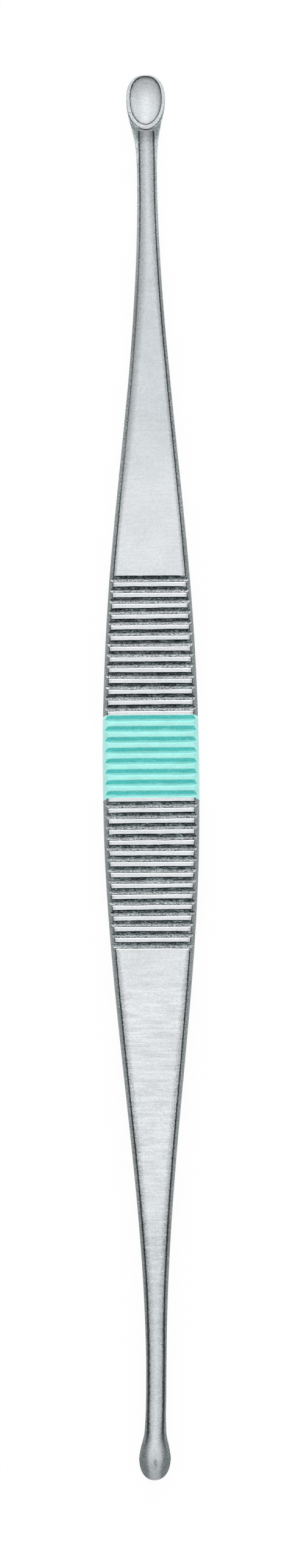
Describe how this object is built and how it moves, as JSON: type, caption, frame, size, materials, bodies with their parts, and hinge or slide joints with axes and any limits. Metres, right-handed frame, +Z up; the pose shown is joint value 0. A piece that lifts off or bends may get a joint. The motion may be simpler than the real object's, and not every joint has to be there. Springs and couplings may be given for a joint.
{
  "type": "double-ended curette",
  "caption": "Slender double-ended steel curette: a flat ribbed grip with a colour band tapers to an oval spoon at one end and a smaller round spoon at the other.",
  "frame": {"origin": "on the resting surface, under the middle of the tool", "axes": "+Y along the tool towards the oval spoon, +Z up out of the face that the oval spoon opens on, +X across the grip"},
  "size_m": [0.0098, 0.14, 0.0026],
  "materials": {
    "satin_steel": "satin blasted stainless steel with fine crosswise brushing on the faces",
    "band_coating": "smooth semi-gloss turquoise coating"
  },
  "bodies": {
    "root": {"handle": "satin_steel", "oval_spoon": "satin_steel", "round_spoon": "satin_steel", "colour_band": "band_coating"}
  },
  "joints": []
}
